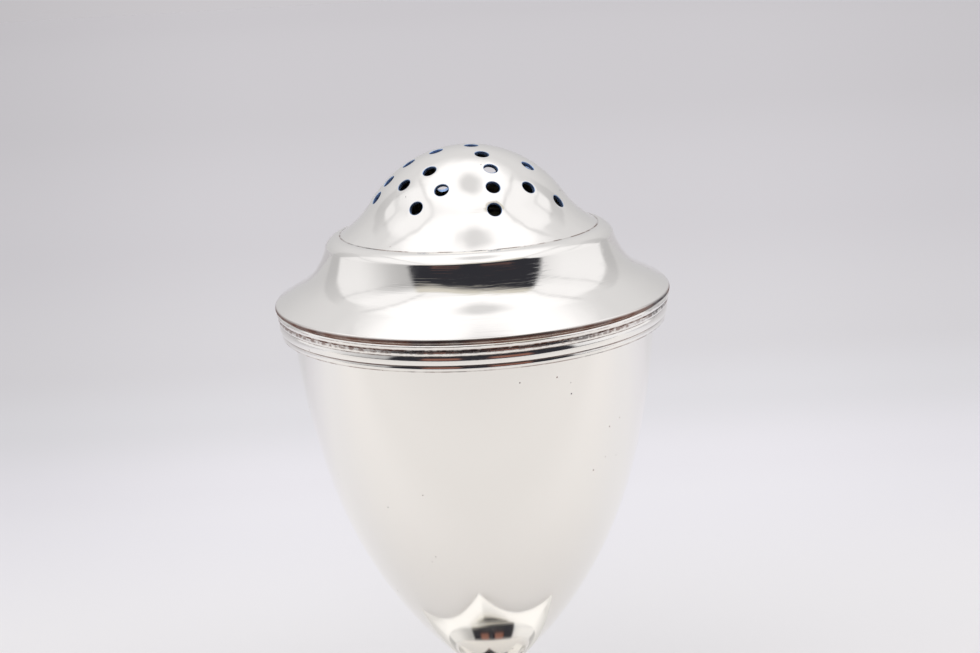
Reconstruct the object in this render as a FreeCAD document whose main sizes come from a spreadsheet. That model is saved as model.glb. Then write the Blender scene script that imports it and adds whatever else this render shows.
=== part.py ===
import FreeCAD, Part
import math
import os
import Sketcher

# Silver pounce pot: an egg-shaped bowl on a flared pedestal and square plinth, with a push-on
# pierced cover. Millimetres and degrees, +Z up, origin at the centre of the plinth's underside.
# The outlines of the turned pieces are drawn in the plane of radius and height.

SIZES = {
    # Sheet, shared by the bowl, pedestal, plate and shoulder
    "sheet": 0.7,
    # Plinth
    "plinth_side": 31.0,
    "plinth_height": 2.5,
    "plinth_corner_radius": 0.5,
    "plate_edge_radius": 0.25,
    "plate_hole_radius": 10.5,
    "border_width": 1.4,
    # Pedestal: a wide arc from the neck and a tighter one at the foot
    "neck_radius": 4.5,
    "stem_flare_radius": 13.0,
    "foot_flare_radius": 9.2,
    "flare_change_angle": 42.0,
    "pedestal_radius": 12.3,
    # Bowl: three arcs from the bottom up, changing at angles from straight down
    "bowl_bottom_height": 13.0,
    "bowl_bottom_radius": 6.8,
    "bowl_lower_angle": 47.0,
    "bowl_lower_radius": 61.0,
    "bowl_side_angle": 76.0,
    "bowl_side_radius": 99.0,
    "mouth_height": 62.97,
    # Reeded wire around the mouth: flat-topped reeds that lean out downwards, each set back
    "top_reed": 0.55,
    "middle_reed": 1.12,
    "bottom_reed": 0.8,
    "reed_top_radius": 23.97,
    "reed_set_back": 0.16,
    "reed_lean": 6.0,
    "reed_roundness": 1.14,
    # Ridged wire under the flange, and its gap to the wire below
    "ridge_groove_radius": 23.85,
    "ridge_radius": 24.2,
    "ridge_height": 63.42,
    "ridge_roundness": 0.12,
    "ridge_top_angle": 50.0,
    "ridge_foot_angle": 102.0,
    "ridge_foot_radius": 24.12,
    "cover_wire_bore": 22.3,
    "cover_gap": 0.06,
    # Cover shoulder, from its rolled lip up: flange, cove of two arcs and bead
    "flange_radius": 24.3,
    "flange_underside": 63.88,
    "lip_radius": 0.5,
    "lip_height": 63.96,
    "flange_slope": 29.0,
    "flange_width": 3.14,
    "lower_cove_radius": 6.8,
    "cove_change_angle": 58.0,
    "upper_cove_radius": 10.4,
    "cove_top_angle": 74.0,
    "bead_edge_radius": 0.5,
    "bead_edge_angle": 58.0,
    "bead_radius": 2.18,
    "crease_radius": 15.8,
    "inner_cove_angle": 70.0,
    "inner_bead_angle": 45.0,
    # Dome, of thinner sheet
    "dome_sheet": 0.4,
    "dome_radius": 14.2,
    "dome_centre_height": 67.92,
    "dome_end_angle": 56.0,
    "dome_flare_radius": 12.7,
    "hole_diameter": 1.65,
    # Sleeve under the cover
    "bezel_radius": 21.2,
    "bezel_sheet": 0.5,
    "bezel_depth": 5.2,
}

# Pierced holes, ring by ring from the crown, as uneven as they were drilled by hand: each is its
# direction seen from above, from -Y towards +X, and its angle down from the crown
HOLE_RINGS = (
    ((9, 5),),
    ((-102, 15), (-8, 19), (80, 18), (170, 16)),
    ((-114, 29), (-68, 32), (-11, 32), (32, 35), (73, 34), (117, 34), (161, 31), (205, 30)),
    ((-111, 42), (-84, 42), (-51, 44), (-16, 44), (10, 47), (61, 49)),
    ((88, 44), (103, 45), (128, 46.5), (160, 43), (190, 45), (221, 43)),
    ((-109, 52), (-65, 54), (-19, 56), (29, 58), (72, 57), (116, 56), (161, 57), (205, 53)),
)

document = FreeCAD.newDocument("pounce_pot")
dims = document.addObject("Spreadsheet::Sheet", "dims")
for row, (alias, size) in enumerate(SIZES.items(), start=1):
    dims.set(f"A{row}", alias)
    dims.set(f"B{row}", str(size))
    dims.setAlias(f"B{row}", alias)
document.recompute()


# Formulas in the names of the size sheet

def point_above(centre, radius, angle):
    """Point at an angle from straight up about a centre."""
    return f"{centre[0]} + ({radius}) * sin({angle})", f"{centre[1]} + ({radius}) * cos({angle})"


def point_below(centre, radius, angle):
    """Point at an angle from straight down about a centre."""
    return f"{centre[0]} + ({radius}) * sin({angle})", f"{centre[1]} - ({radius}) * cos({angle})"


def leg(radius, distance):
    """Other leg of the right triangle whose long side is the radius."""
    return f"sqrt(({radius}) ^ 2 - ({distance}) ^ 2)"


# Sketches

def origin_plane(body, role):
    return next(plane for plane in body.Origin.OriginFeatures if plane.Role == role)


def new_sketch(body, role):
    sketch = body.newObject("Sketcher::SketchObject", body.Name + "_outline")
    sketch.AttachmentSupport = [(origin_plane(body, role), "")]
    sketch.MapMode = "FlatFace"
    return sketch


def vector(corner):
    return FreeCAD.Vector(*(dims.evalExpression(formula) for formula in corner), 0)


def side_curve(start, end, centre):
    """Line, or the short arc about a centre, and which of its ends is the start."""
    if centre is None:
        return Part.LineSegment(start, end), 1
    first, last = start - centre, end - centre
    turns_left = first.cross(last).z > 0
    if not turns_left:
        first, last = last, first
    circle = Part.Circle(centre, FreeCAD.Vector(0, 0, 1), first.Length)
    first_angle = math.atan2(first.y, first.x)
    last_angle = math.atan2(last.y, last.x)
    return Part.ArcOfCircle(circle, first_angle, last_angle), 1 if turns_left else 2


def bind(sketch, constraint, formula):
    index = sketch.addConstraint(constraint)
    sketch.renameConstraint(index, f"size_{index}")
    sketch.setExpression(f"Constraints.size_{index}", formula)


def add_loop(sketch, corners, arcs=None):
    """Closed outline through the corners. arcs gives a side's centre and radius."""
    arcs = arcs or {}
    points = [vector(corner) for corner in corners]
    sides = []
    for side, start in enumerate(points):
        end = points[(side + 1) % len(points)]
        centre = vector(arcs[side][0]) if side in arcs else None
        curve, start_end = side_curve(start, end, centre)
        sides.append((sketch.addGeometry(curve, False), start_end))
    for side, (curve, start_end) in enumerate(sides):
        next_curve, next_start = sides[(side + 1) % len(sides)]
        sketch.addConstraint(
            Sketcher.Constraint("Coincident", curve, 3 - start_end, next_curve, next_start)
        )
        for kind, formula, place in zip(("DistanceX", "DistanceY"), corners[side], points[side]):
            bind(sketch, Sketcher.Constraint(kind, -1, 1, curve, start_end, place), formula)
        if side in arcs:
            radius = dims.evalExpression(arcs[side][1])
            bind(sketch, Sketcher.Constraint("Radius", curve, radius), arcs[side][1])


# Solids

pieces = {}


def new_piece(label):
    body = document.addObject("PartDesign::Body", label)
    body.Label = label
    body.Placement = FreeCAD.Placement()
    pieces[label] = body
    return body


def turned_piece(label, corners, arcs=None):
    """Body of revolution about the upright axis."""
    body = new_piece(label)
    sketch = new_sketch(body, "XZ_Plane")
    add_loop(sketch, corners, arcs)
    turned = body.newObject("PartDesign::Revolution", label + "_turned")
    turned.Profile = sketch
    turned.ReferenceAxis = (sketch, ["V_Axis"])
    turned.Angle = 360
    return body


def square_corners(half_side):
    return [(f"{x} * ({half_side})", f"{y} * ({half_side})")
            for x, y in ((-1, -1), (1, -1), (1, 1), (-1, 1))]


def padded_square(label, height):
    """Body with a square pad and its outer upright edges rounded, and the sketch of the pad."""
    body = new_piece(label)
    sketch = new_sketch(body, "XY_Plane")
    add_loop(sketch, square_corners("dims.plinth_side / 2"))
    pad = body.newObject("PartDesign::Pad", label + "_pad")
    pad.Profile = sketch
    pad.setExpression("Length", height)
    return body, sketch, pad


def round_edges(body, feature, radius, chosen):
    """Fillet on the feature's edges that the test picks."""
    document.recompute()
    names = [f"Edge{number}" for number, edge in enumerate(feature.Shape.Edges, start=1)
             if chosen(edge.BoundBox)]
    fillet = body.newObject("PartDesign::Fillet", f"{body.Name}_round_{len(body.Group)}")
    fillet.Base = (feature, names)
    fillet.setExpression("Radius", radius)
    return fillet


def is_outer_upright(box):
    """Upright edge at a corner of the plinth."""
    at_corner = abs(abs(box.XMin) - SIZES["plinth_side"] / 2) < 1e-6
    return at_corner and box.XLength < 1e-6 and box.YLength < 1e-6


def is_outer_top(box):
    """Side or corner of the plate's top, not the edge of its hole."""
    at_top = box.ZMin > SIZES["sheet"] - 1e-6
    return at_top and min(box.XLength, box.YLength) < 2 * SIZES["plinth_corner_radius"]


# Plinth border: square strip of wire, open in the middle, that the pot stands on

border_height = "dims.plinth_height - dims.sheet"
border, border_sketch, border_pad = padded_square("plinth_border", border_height)
add_loop(border_sketch, square_corners("dims.plinth_side / 2 - dims.border_width"))
round_edges(border, border_pad, "dims.plinth_corner_radius", is_outer_upright)

# Plinth plate: square sheet on the border, with a round hole under the hollow pedestal

plate, plate_sketch, plate_pad = padded_square("plinth_plate", "dims.sheet")
hole = plate_sketch.addGeometry(
    Part.Circle(FreeCAD.Vector(), FreeCAD.Vector(0, 0, 1), SIZES["plate_hole_radius"]), False
)
plate_sketch.addConstraint(Sketcher.Constraint("Coincident", hole, 3, -1, 1))
bind(plate_sketch, Sketcher.Constraint("Radius", hole, SIZES["plate_hole_radius"]),
     "dims.plate_hole_radius")
plate_corners = round_edges(plate, plate_pad, "dims.plinth_corner_radius", is_outer_upright)
round_edges(plate, plate_corners, "dims.plate_edge_radius", is_outer_top)
plate.setExpression("Placement.Base.z", border_height)

# Bowl: one raised shell of three tangent arcs, closed at the bottom

bottom_centre = ("0", "dims.bowl_bottom_height + dims.bowl_bottom_radius")
lower_centre = point_below(
    bottom_centre, "dims.bowl_bottom_radius - dims.bowl_lower_radius", "dims.bowl_lower_angle"
)
side_centre = point_below(
    lower_centre, "dims.bowl_lower_radius - dims.bowl_side_radius", "dims.bowl_side_angle"
)


def bowl_radius_at(height, depth="0"):
    """Radius of the bowl's upper side at a height, at a depth below its outer face."""
    reach = leg(f"dims.bowl_side_radius - {depth}", f"{height} - ({side_centre[1]})")
    return f"{side_centre[0]} + {reach}"


def bowl_underside_at(radius):
    """Height of the bowl's rounded bottom at a radius."""
    return f"{bottom_centre[1]} - {leg('dims.bowl_bottom_radius', radius)}"


turned_piece(
    "bowl",
    [
        ("0", "dims.bowl_bottom_height"),
        point_below(bottom_centre, "dims.bowl_bottom_radius", "dims.bowl_lower_angle"),
        point_below(lower_centre, "dims.bowl_lower_radius", "dims.bowl_side_angle"),
        (bowl_radius_at("dims.mouth_height"), "dims.mouth_height"),
        (bowl_radius_at("dims.mouth_height", "dims.sheet"), "dims.mouth_height"),
        point_below(lower_centre, "dims.bowl_lower_radius - dims.sheet", "dims.bowl_side_angle"),
        point_below(bottom_centre, "dims.bowl_bottom_radius - dims.sheet",
                    "dims.bowl_lower_angle"),
        ("0", "dims.bowl_bottom_height + dims.sheet"),
    ],
    {
        0: (bottom_centre, "dims.bowl_bottom_radius"),
        1: (lower_centre, "dims.bowl_lower_radius"),
        2: (side_centre, "dims.bowl_side_radius"),
        4: (side_centre, "dims.bowl_side_radius - dims.sheet"),
        5: (lower_centre, "dims.bowl_lower_radius - dims.sheet"),
        6: (bottom_centre, "dims.bowl_bottom_radius - dims.sheet"),
    },
)

# Pedestal: hollow trumpet from the bowl's underside to a short upright edge on the plate

neck_bore = "dims.neck_radius - dims.sheet"
stem_centre = (
    "dims.neck_radius + dims.stem_flare_radius", bowl_underside_at("dims.neck_radius")
)
foot_centre = point_above(
    stem_centre, "dims.foot_flare_radius - dims.stem_flare_radius", "dims.flare_change_angle"
)


def foot_height_at(radius, depth):
    """Height of the foot's flare at a radius, at a depth below its outer face."""
    drop = leg(f"dims.foot_flare_radius + {depth}", f"{foot_centre[0]} - ({radius})")
    return f"{foot_centre[1]} - {drop}"


turned_piece(
    "pedestal",
    [
        ("dims.neck_radius", bowl_underside_at("dims.neck_radius")),
        point_above(stem_centre, "-dims.stem_flare_radius", "dims.flare_change_angle"),
        ("dims.pedestal_radius", foot_height_at("dims.pedestal_radius", "0")),
        ("dims.pedestal_radius", "dims.plinth_height"),
        ("dims.pedestal_radius - dims.sheet", "dims.plinth_height"),
        ("dims.pedestal_radius - dims.sheet",
         foot_height_at("dims.pedestal_radius - dims.sheet", "dims.sheet")),
        point_above(stem_centre, "-dims.stem_flare_radius - dims.sheet",
                    "dims.flare_change_angle"),
        (neck_bore, bowl_underside_at(neck_bore)),
    ],
    {
        0: (stem_centre, "dims.stem_flare_radius"),
        1: (foot_centre, "dims.foot_flare_radius"),
        5: (foot_centre, "dims.foot_flare_radius + dims.sheet"),
        6: (stem_centre, "dims.stem_flare_radius + dims.sheet"),
        7: (bottom_centre, "dims.bowl_bottom_radius"),
    },
)


# Bowl rim wire: three reeds around the mouth, flush with it

def reeds(first_side, heights):
    """Corners and arcs of reeds stacked downwards from the mouth."""
    corners, arcs = [], {}
    top = "dims.mouth_height"
    for number, height in enumerate(heights):
        top_radius = f"dims.reed_top_radius - {number} * dims.reed_set_back"
        chord = f"({height}) / cos(dims.reed_lean)"
        radius = f"dims.reed_roundness * {chord}"
        inset = leg(radius, f"{chord} / 2")
        centre = (
            f"{top_radius} + ({height}) / 2 * tan(dims.reed_lean)"
            f" - {inset} * cos(dims.reed_lean)",
            f"{top} - ({height}) / 2 - {inset} * sin(dims.reed_lean)",
        )
        bottom = f"{top} - ({height})"
        arcs[first_side + 2 * number] = (centre, radius)
        corners.append((top_radius, top))
        corners.append((f"{top_radius} + ({height}) * tan(dims.reed_lean)", bottom))
        top = bottom
    return corners, arcs


bowl_reeds = ("dims.top_reed", "dims.middle_reed", "dims.bottom_reed")
reed_corners, reed_arcs = reeds(1, bowl_reeds)
wire_bottom = reed_corners[-1][1]
turned_piece(
    "bowl_rim_wire",
    [(bowl_radius_at("dims.mouth_height"), "dims.mouth_height")]
    + reed_corners
    + [(bowl_radius_at(wire_bottom), wire_bottom)],
    {**reed_arcs, len(reed_corners) + 1: (side_centre, "dims.bowl_side_radius")},
)

# Cover shoulder: bead, cove and flange in one spun ring. The flange's edge is rolled over a
# little and filed flat below, where the wire is soldered on.

lip_centre = ("dims.flange_radius - dims.lip_radius", "dims.lip_height")
lip_top = point_above(lip_centre, "dims.lip_radius", "dims.flange_slope")
cove_end = (
    f"{lip_top[0]} - dims.flange_width * cos(dims.flange_slope)",
    f"{lip_top[1]} + dims.flange_width * sin(dims.flange_slope)",
)
lower_cove_centre = point_above(cove_end, "dims.lower_cove_radius", "dims.flange_slope")
upper_cove_centre = point_above(
    lower_cove_centre, "dims.upper_cove_radius - dims.lower_cove_radius",
    "dims.cove_change_angle"
)
bead_edge_centre = point_above(
    upper_cove_centre, "-dims.upper_cove_radius - dims.bead_edge_radius", "dims.cove_top_angle"
)
bead_centre = point_above(
    bead_edge_centre, "dims.bead_edge_radius - dims.bead_radius", "dims.bead_edge_angle"
)
sheet_upright = "dims.sheet / cos(dims.flange_slope)"


def flange_inside_at(radius):
    """Height of the flange's sloping inner side at a radius."""
    return f"{lip_top[1]} + ({lip_top[0]} - ({radius})) * tan(dims.flange_slope) - {sheet_upright}"


def bead_height_at_crease(depth):
    """Height of the bead where it meets the dome, at a depth below its outer face."""
    reach = leg(f"dims.bead_radius - {depth}", f"dims.crease_radius - ({bead_centre[0]})")
    return f"{bead_centre[1]} + {reach}"


flat_rise = f"(dims.flange_underside - ({lip_top[1]}) + {sheet_upright})"
flat_radius = f"{lip_top[0]} - {flat_rise} / tan(dims.flange_slope)"
turned_piece(
    "cover_shoulder",
    [
        ("dims.crease_radius", bead_height_at_crease("0")),
        point_above(bead_edge_centre, "dims.bead_edge_radius", "dims.bead_edge_angle"),
        point_above(upper_cove_centre, "-dims.upper_cove_radius", "dims.cove_top_angle"),
        point_above(lower_cove_centre, "-dims.lower_cove_radius", "dims.cove_change_angle"),
        cove_end,
        lip_top,
        ("dims.flange_radius", "dims.lip_height"),
        ("dims.flange_radius", "dims.flange_underside"),
        (flat_radius, "dims.flange_underside"),
        point_above(lower_cove_centre, "-dims.lower_cove_radius - dims.sheet",
                    "dims.flange_slope"),
        point_above(lower_cove_centre, "-dims.lower_cove_radius - dims.sheet",
                    "dims.cove_change_angle"),
        point_above(upper_cove_centre, "-dims.upper_cove_radius - dims.sheet",
                    "dims.inner_cove_angle"),
        point_above(bead_centre, "dims.bead_radius - dims.sheet", "dims.inner_bead_angle"),
        ("dims.crease_radius", bead_height_at_crease("dims.sheet")),
    ],
    {
        0: (bead_centre, "dims.bead_radius"),
        1: (bead_edge_centre, "dims.bead_edge_radius"),
        2: (upper_cove_centre, "dims.upper_cove_radius"),
        3: (lower_cove_centre, "dims.lower_cove_radius"),
        5: (lip_centre, "dims.lip_radius"),
        9: (lower_cove_centre, "dims.lower_cove_radius + dims.sheet"),
        10: (upper_cove_centre, "dims.upper_cove_radius + dims.sheet"),
        12: (bead_centre, "dims.bead_radius - dims.sheet"),
    },
)

# Cover rim wire: one wire filed to a blunt ridge, under the flange and down to the gap

ridge_centre = ("dims.ridge_radius - dims.ridge_roundness", "dims.ridge_height")
wire_foot = "dims.mouth_height + dims.cover_gap"
turned_piece(
    "cover_rim_wire",
    [
        ("dims.cover_wire_bore", flange_inside_at("dims.cover_wire_bore")),
        (flat_radius, "dims.flange_underside"),
        ("dims.ridge_groove_radius", "dims.flange_underside"),
        point_above(ridge_centre, "dims.ridge_roundness", "dims.ridge_top_angle"),
        point_above(ridge_centre, "dims.ridge_roundness", "dims.ridge_foot_angle"),
        ("dims.ridge_foot_radius", wire_foot),
        ("dims.cover_wire_bore", wire_foot),
    ],
    {3: (ridge_centre, "dims.ridge_roundness")},
)

# Cover bezel: plain sleeve under the flange that pushes into the mouth

bezel_bore = "dims.bezel_radius - dims.bezel_sheet"
bezel_foot = "dims.mouth_height - dims.bezel_depth"
turned_piece(
    "cover_bezel",
    [
        ("dims.bezel_radius", bezel_foot),
        ("dims.bezel_radius", flange_inside_at("dims.bezel_radius")),
        (bezel_bore, flange_inside_at(bezel_bore)),
        (bezel_bore, bezel_foot),
    ],
)

# Pierced dome: part of a sphere that flares out to the crease, and the holes through it

dome_centre = ("0", "dims.dome_centre_height")
flare_centre = point_above(
    dome_centre, "dims.dome_radius + dims.dome_flare_radius", "dims.dome_end_angle"
)


def flare_height_at_crease(depth):
    """Height of the flare where it meets the bead, at a depth below its outer face."""
    drop = leg(f"dims.dome_flare_radius + {depth}",
               f"{flare_centre[0]} - dims.crease_radius")
    return f"{flare_centre[1]} - {drop}"


dome_shell = turned_piece(
    "dome_shell",
    [
        ("0", "dims.dome_centre_height + dims.dome_radius"),
        point_above(dome_centre, "dims.dome_radius", "dims.dome_end_angle"),
        ("dims.crease_radius", flare_height_at_crease("0")),
        ("dims.crease_radius", flare_height_at_crease("dims.dome_sheet")),
        point_above(dome_centre, "dims.dome_radius - dims.dome_sheet", "dims.dome_end_angle"),
        ("0", "dims.dome_centre_height + dims.dome_radius - dims.dome_sheet"),
    ],
    {
        0: (dome_centre, "dims.dome_radius"),
        1: (flare_centre, "dims.dome_flare_radius"),
        3: (flare_centre, "dims.dome_flare_radius + dims.dome_sheet"),
        4: (dome_centre, "dims.dome_radius - dims.dome_sheet"),
    },
)


def hole_punch(number, direction, angle):
    """Cylinder square to the dome, from well inside it to well outside."""
    punch = document.addObject("Part::Cylinder", f"punch_{number}")
    punch.setExpression("Radius", "dims.hole_diameter / 2")
    punch.setExpression("Height", "7 * dims.dome_sheet")
    reach = "dims.dome_radius - 5 * dims.dome_sheet"
    punch.Placement.Rotation = FreeCAD.Rotation(direction, 0, 0) * FreeCAD.Rotation(0, 0, angle)
    punch.setExpression("Placement.Base.x", f"({reach}) * sin({angle}) * sin({direction})")
    punch.setExpression("Placement.Base.y", f"-({reach}) * sin({angle}) * cos({direction})")
    punch.setExpression(
        "Placement.Base.z", f"dims.dome_centre_height + ({reach}) * cos({angle})"
    )
    return punch


places = [place for ring in HOLE_RINGS for place in ring]
punches = document.addObject("Part::Compound", "punches")
punches.Links = [hole_punch(number, *place) for number, place in enumerate(places, start=1)]
dome = document.addObject("Part::Cut", "pierced_dome")
dome.Base = dome_shell
dome.Tool = punches
dome.Placement = FreeCAD.Placement()
del pieces["dome_shell"]
pieces["pierced_dome"] = dome

# Checks, then one file for each piece

document.recompute()
for item in document.Objects:
    if "Invalid" in item.State or "Error" in item.State:
        raise RuntimeError(f"{item.Label} failed: {item.State}")
shell_volume = dome_shell.Shape.Volume
hole_volume = shell_volume - dome.Shape.Volume
hole_area = math.pi * (SIZES["hole_diameter"] / 2) ** 2
if not 0.95 < hole_volume / (len(places) * hole_area * SIZES["dome_sheet"]) < 1.1:
    raise RuntimeError("the holes don't all go through the dome")
for label, piece in pieces.items():
    if piece.Shape.isNull() or not piece.Shape.isValid() or len(piece.Shape.Solids) != 1:
        raise RuntimeError(f"{label} is not one valid solid")

os.makedirs("parts", exist_ok=True)
for label, piece in pieces.items():
    piece.Shape.exportStep(f"parts/{label}.step")
    top = piece.Shape.optimalBoundingBox(False).ZMax
    print(f"{label}: {piece.Shape.Volume:.1f} mm3, top at {top:.2f} mm")
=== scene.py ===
import math

import bmesh
import bpy
from mathutils import Matrix, Vector, geometry


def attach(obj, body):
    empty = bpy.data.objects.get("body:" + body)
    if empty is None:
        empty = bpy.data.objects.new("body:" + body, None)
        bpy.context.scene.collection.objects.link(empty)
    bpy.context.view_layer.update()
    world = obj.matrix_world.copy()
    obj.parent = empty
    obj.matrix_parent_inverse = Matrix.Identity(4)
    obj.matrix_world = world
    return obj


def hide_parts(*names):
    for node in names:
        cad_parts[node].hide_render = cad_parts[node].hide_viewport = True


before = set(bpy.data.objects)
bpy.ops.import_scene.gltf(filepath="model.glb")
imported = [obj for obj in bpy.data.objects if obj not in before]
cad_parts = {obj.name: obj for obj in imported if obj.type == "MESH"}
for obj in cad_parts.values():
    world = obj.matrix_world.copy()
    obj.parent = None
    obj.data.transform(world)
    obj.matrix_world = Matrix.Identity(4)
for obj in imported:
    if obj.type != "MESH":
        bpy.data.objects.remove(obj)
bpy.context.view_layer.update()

# Silver pounce pot, built up from the plinth. Outlines and sizes are in millimetres, in the
# plane of radius and height for turned pieces, and become metres as each mesh is made.


# Plinth border: a square frame of silver strip, mitred at the corners and soldered under the
# edge of the plinth plate. The pot stands on it, so its lower edges are rubbed.

MM = 0.001
PLINTH_HALF_SIDE = 15.5
PLINTH_HEIGHT = 2.5
SHEET = 0.7
BORDER_WIDTH = 1.4
CORNER_RADIUS = 0.5
INNER_CORNER_RADIUS = 0.02
SQUARE_CORNER_STEPS = 6
SQUARE_SIDE_STEPS = 24
SHARP_ANGLE = 30


def square_loop(half_side, corner_radius, height):
    """Points around a square with rounded corners, anticlockwise from above."""
    points = []
    inner = half_side - corner_radius
    for quarter in range(4):
        turn = Matrix.Rotation(math.radians(90 * quarter), 3, "Z")
        for step in range(SQUARE_SIDE_STEPS):
            along = -inner + 2 * inner * step / SQUARE_SIDE_STEPS
            points.append(turn @ Vector((half_side, along, height)))
        for step in range(SQUARE_CORNER_STEPS):
            angle = math.radians(90) * step / SQUARE_CORNER_STEPS
            points.append(turn @ Vector((
                inner + corner_radius * math.cos(angle),
                inner + corner_radius * math.sin(angle),
                height,
            )))
    return points


def new_piece(name, points, faces):
    """Smooth-shaded mesh object from points in millimetres."""
    mesh = bpy.data.meshes.new(name)
    mesh.from_pydata([Vector(point) * MM for point in points], [], faces)
    mesh.shade_smooth()
    mesh.validate()
    piece = bpy.data.objects.new(name, mesh)
    bpy.context.scene.collection.objects.link(piece)
    return piece


def skin(loops, ends_meet):
    """Quads between neighbouring loops of equal length, and between the last and the first."""
    count = len(loops[0])
    faces = []
    for lower in range(len(loops) if ends_meet else len(loops) - 1):
        upper = (lower + 1) % len(loops)
        for side in range(count):
            after = (side + 1) % count
            faces.append((
                lower * count + side,
                lower * count + after,
                upper * count + after,
                upper * count + side,
            ))
    return [point for loop in loops for point in loop], faces


def ease_edges(piece, width, segments=3):
    """Rounds every sharp edge by a width in millimetres, as filing and polishing leave it."""
    eased = piece.modifiers.new("eased_edges", "BEVEL")
    eased.width = width * MM
    eased.segments = segments
    eased.limit_method = "ANGLE"
    eased.angle_limit = math.radians(SHARP_ANGLE)
    eased.harden_normals = True


def node(tree, kind, inputs=None, **settings):
    """New node with its inputs linked or set."""
    made = tree.nodes.new(kind)
    for name, value in settings.items():
        setattr(made, name, value)
    for socket, value in (inputs or {}).items():
        if isinstance(value, bpy.types.NodeSocket):
            tree.links.new(value, made.inputs[socket])
        else:
            made.inputs[socket].default_value = value
    return made


def maths(tree, operation, *values):
    return node(tree, "ShaderNodeMath", dict(enumerate(values)), operation=operation).outputs[0]


def fade(tree, value, start, end, first=0.0, last=1.0):
    """Smooth change from first to last as a value goes from start to end."""
    ranges = {"Value": value, "From Min": start, "From Max": end, "To Min": first, "To Max": last}
    made = node(tree, "ShaderNodeMapRange", ranges, interpolation_type="SMOOTHSTEP")
    return made.outputs["Result"]


def new_group(name, inputs, outputs):
    """Shader group with number inputs, their defaults, and number outputs."""
    group = bpy.data.node_groups.new(name, "ShaderNodeTree")
    for label, value in inputs.items():
        socket = group.interface.new_socket(label, in_out="INPUT", socket_type="NodeSocketFloat")
        socket.default_value = value
    for label in outputs:
        group.interface.new_socket(label, in_out="OUTPUT", socket_type="NodeSocketFloat")
    return group, group.nodes.new("NodeGroupInput"), group.nodes.new("NodeGroupOutput")


def place_in_millimetres(tree):
    place = node(tree, "ShaderNodeTexCoord").outputs["Object"]
    scaled = node(tree, "ShaderNodeVectorMath", {0: place, "Scale": 1 / MM}, operation="SCALE")
    return scaled.outputs["Vector"]


def noise(tree, place, scale, detail=2.0):
    inputs = {"Vector": place, "Scale": scale, "Detail": detail}
    return node(tree, "ShaderNodeTexNoise", inputs).outputs["Fac"]


def length_of(tree, across, along):
    """Length of a line from its extents in two directions at right angles."""
    squares = maths(tree, "MULTIPLY_ADD", across, across, maths(tree, "MULTIPLY", along, along))
    return maths(tree, "SQRT", squares)


# Hand polish: the faint waviness of hammered sheet, hairlines from rubbing and a few pits.
# Depths are in millimetres, scales in features a millimetre, and a share is the pair of noise
# values between which a mark sets in.

WAVE_SCALE = 0.3
HAIRLINE_TILTS = ((0.3, 0.5, 0.2), (1.1, -0.6, 0.9), (-0.8, 0.2, 2.0))
HAIRLINE_STRETCH = (0.12, 0.12, 9.0)
HAIRLINE_SHARE = (0.6, 0.72)
PIT_SCALE = 0.5
PIT_SHARE = (0.5, 1.0)
PIT_SIZE = 0.075
PIT_EDGE = 0.03
SMEAR_SCALE = 0.22
SMEAR_SHARE = (0.45, 0.75)

hand_polish, hand_in, hand_out = new_group(
    "hand_polish",
    {"Wave Depth": 0.0015, "Hairline Depth": 0.0006, "Pit Depth": 0.01, "Base Roughness": 0.08,
     "Smear": 0.05},
    ("Height", "Roughness", "Pits"),
)
hand_place = place_in_millimetres(hand_polish)
waves = maths(hand_polish, "MULTIPLY", noise(hand_polish, hand_place, WAVE_SCALE, detail=1.0),
              hand_in.outputs["Wave Depth"])
hairlines = None
for tilt in HAIRLINE_TILTS:
    stretched = node(hand_polish, "ShaderNodeMapping",
                     {"Vector": hand_place, "Rotation": tilt, "Scale": HAIRLINE_STRETCH})
    fine = noise(hand_polish, stretched.outputs["Vector"], 1.0, detail=3.0)
    line = fade(hand_polish, fine, *HAIRLINE_SHARE)
    hairlines = line if hairlines is None else maths(hand_polish, "MAXIMUM", hairlines, line)
pit_cells = node(hand_polish, "ShaderNodeTexVoronoi", {"Vector": hand_place, "Scale": PIT_SCALE})
chosen = node(hand_polish, "ShaderNodeSeparateColor", {"Color": pit_cells.outputs["Color"]})
pit_size = fade(hand_polish, chosen.outputs["Red"], *PIT_SHARE, 0.0, PIT_SIZE)
pit_edge = maths(hand_polish, "SUBTRACT", pit_size, pit_cells.outputs["Distance"])
pits = fade(hand_polish, pit_edge, 0.0, PIT_EDGE)
relief = maths(hand_polish, "SUBTRACT", waves,
               maths(hand_polish, "MULTIPLY", hairlines, hand_in.outputs["Hairline Depth"]))
relief = maths(hand_polish, "SUBTRACT", relief,
               maths(hand_polish, "MULTIPLY", pits, hand_in.outputs["Pit Depth"]))
smears = fade(hand_polish, noise(hand_polish, hand_place, SMEAR_SCALE, detail=4.0),
              *SMEAR_SHARE)
rough = maths(hand_polish, "MULTIPLY_ADD", smears, hand_in.outputs["Smear"],
              hand_in.outputs["Base Roughness"])
hand_polish.links.new(relief, hand_out.inputs["Height"])
hand_polish.links.new(rough, hand_out.inputs["Roughness"])
hand_polish.links.new(pits, hand_out.inputs["Pits"])

# Tarnish line: the brown that polishing leaves along a groove or a soldered joint. The line
# runs around the pot at a radius and height, and is broken into patches of a fine or coarse
# grain.

LINE_VALUES = ("Radius", "Height", "Reach", "Patchiness", "Grain", "Strength")
SOLID_SHARE = 0.35
PATCH_SHARE = (0.4, 0.6)

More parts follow.
